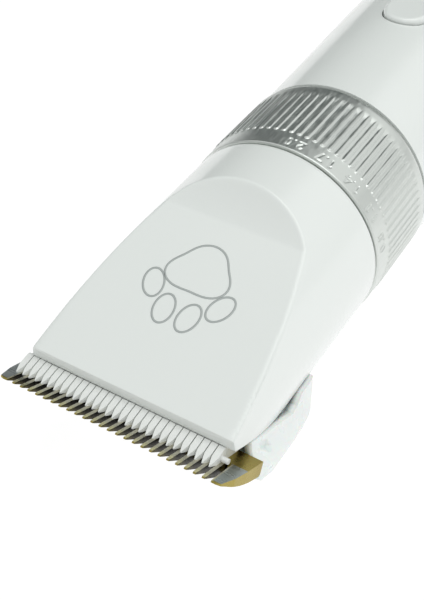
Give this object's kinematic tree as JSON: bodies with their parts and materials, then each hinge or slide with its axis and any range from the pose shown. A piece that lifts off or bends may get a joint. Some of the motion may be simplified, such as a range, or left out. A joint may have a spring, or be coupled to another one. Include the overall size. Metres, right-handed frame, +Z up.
{
  "type": "electric pet clipper",
  "caption": "Cordless pet clipper: tapered nose with a flat face, ribbed cut-length ring, detachable steel and ceramic blade set, oval handle with motor and battery.",
  "frame": {"origin": "on the floor below the middle of the bounding box", "axes": "+Z up, the side with the flat face; -Y towards the blade; +X to the right seen from behind the handle"},
  "size_m": [0.0426, 0.1781, 0.0404],
  "materials": {
    "gloss_white": "gloss",
    "holder_white": "gloss, slightly translucent",
    "ring_silver": "satin",
    "titanium_gold": "titanium nitride, ground",
    "zirconia_white": "ground",
    "guide_black": "satin",
    "spring_steel": "bright",
    "screw_steel": "plated",
    "frame_black": "moulded",
    "acetal_white": "moulded",
    "bearing_bronze": "sintered",
    "motor_steel": "zinc plated",
    "motor_black": "moulded",
    "ferrite": "ferrite",
    "laminated_steel": "laminated",
    "copper": "enamelled copper",
    "silicone": "matte",
    "lens_clear": "clear diffusing",
    "cell_wrap": "heat-shrink sleeve",
    "board_green": "solder mask",
    "component_black": "moulded",
    "led_white": "gloss"
  },
  "bodies": {
    "housing": {"nose_shell": "gloss_white", "handle_upper_shell": "gloss_white", "handle_lower_shell": "gloss_white", "tail_cap": "gloss_white", "ring_detent_spring": "spring_steel", "battery_tabs": "spring_steel", "motor_terminals": "spring_steel", "nose_screws": "screw_steel", "shell_screws": "screw_steel", "motor_screws": "screw_steel", "lever_pivot_pin": "screw_steel", "jack_pin": "screw_steel", "chassis": "frame_black", "latch_block": "frame_black", "battery_tray": "frame_black", "front_bush": "bearing_bronze", "rear_bush": "bearing_bronze", "motor_can": "motor_steel", "motor_end_cap": "motor_black", "carbon_brushes": "motor_black", "motor_magnets": "ferrite", "jack_leads": "copper", "button_spring_pad": "silicone", "indicator_lens": "lens_clear", "battery_cell": "cell_wrap", "circuit_board": "board_green", "tact_switch": "component_black", "board_components": "component_black", "charging_jack": "component_black", "indicator_leds": "led_white"},
    "ring": {"adjust_ring": "ring_silver", "cam_sleeve": "frame_black"},
    "adjuster": {"adjuster_slider": "frame_black", "cam_pin": "screw_steel"},
    "blade_unit": {"fixed_blade": "titanium_gold", "blade_holder": "holder_white", "blade_screws": "screw_steel", "blade_springs": "spring_steel"},
    "carriage": {"cutter_guide": "guide_black"},
    "cutter": {"ceramic_blade": "zirconia_white", "cutter_follower": "guide_black"},
    "lever": {"drive_lever": "acetal_white", "lever_bush": "bearing_bronze"},
    "rotor": {"motor_shaft": "screw_steel", "armature": "laminated_steel", "rotor_windings": "copper", "commutator": "copper", "eccentric_hub": "acetal_white", "drive_pin": "screw_steel", "drive_roller": "bearing_bronze"},
    "button": {"power_button": "gloss_white"}
  },
  "joints": [
    {"name": "ring_turn", "type": "hinge", "parent": "housing", "child": "ring", "pos_m": [0, -0.0256, 0.02], "axis": [0, -1, 0], "range_deg": [0, 72]},
    {"name": "adjuster_slide", "type": "slide", "parent": "housing", "child": "adjuster", "axis": [0, -1, 0], "range_m": [0, 0.00107]},
    {"name": "blade_release", "type": "hinge", "parent": "housing", "child": "blade_unit", "pos_m": [0, -0.0581, 0.007], "axis": [1, 0, 0], "range_deg": [0, 45]},
    {"name": "cut_adjust", "type": "slide", "parent": "blade_unit", "child": "carriage", "axis": [0, -0.891, 0.454], "range_m": [0, 0.00121]},
    {"name": "cutter_stroke", "type": "slide", "parent": "carriage", "child": "cutter", "axis": [1, 0, 0], "range_m": [0, 0.00262]},
    {"name": "lever_swing", "type": "hinge", "parent": "housing", "child": "lever", "pos_m": [0, -0.0556, 0.02], "axis": [0, 0, 1], "range_deg": [0, 6.83]},
    {"name": "rotor_spin", "type": "hinge", "parent": "housing", "child": "rotor", "pos_m": [0, -0.0226, 0.02], "axis": [0, 1, 0], "continuous": true},
    {"name": "power_press", "type": "slide", "parent": "housing", "child": "button", "axis": [0, 0, -1], "range_m": [0, 0.0007], "stiffness_N_per_m": 800}
  ],
  "couplings": [
    {"joint": "ring_turn", "follows": "adjuster_slide", "rad_per_m": 1175.5},
    {"joint": "cut_adjust", "follows": "adjuster_slide", "ratio": 1.1223},
    {"joint": "lever_swing", "follows": "cutter_stroke", "rad_per_m": 45.45}
  ]
}
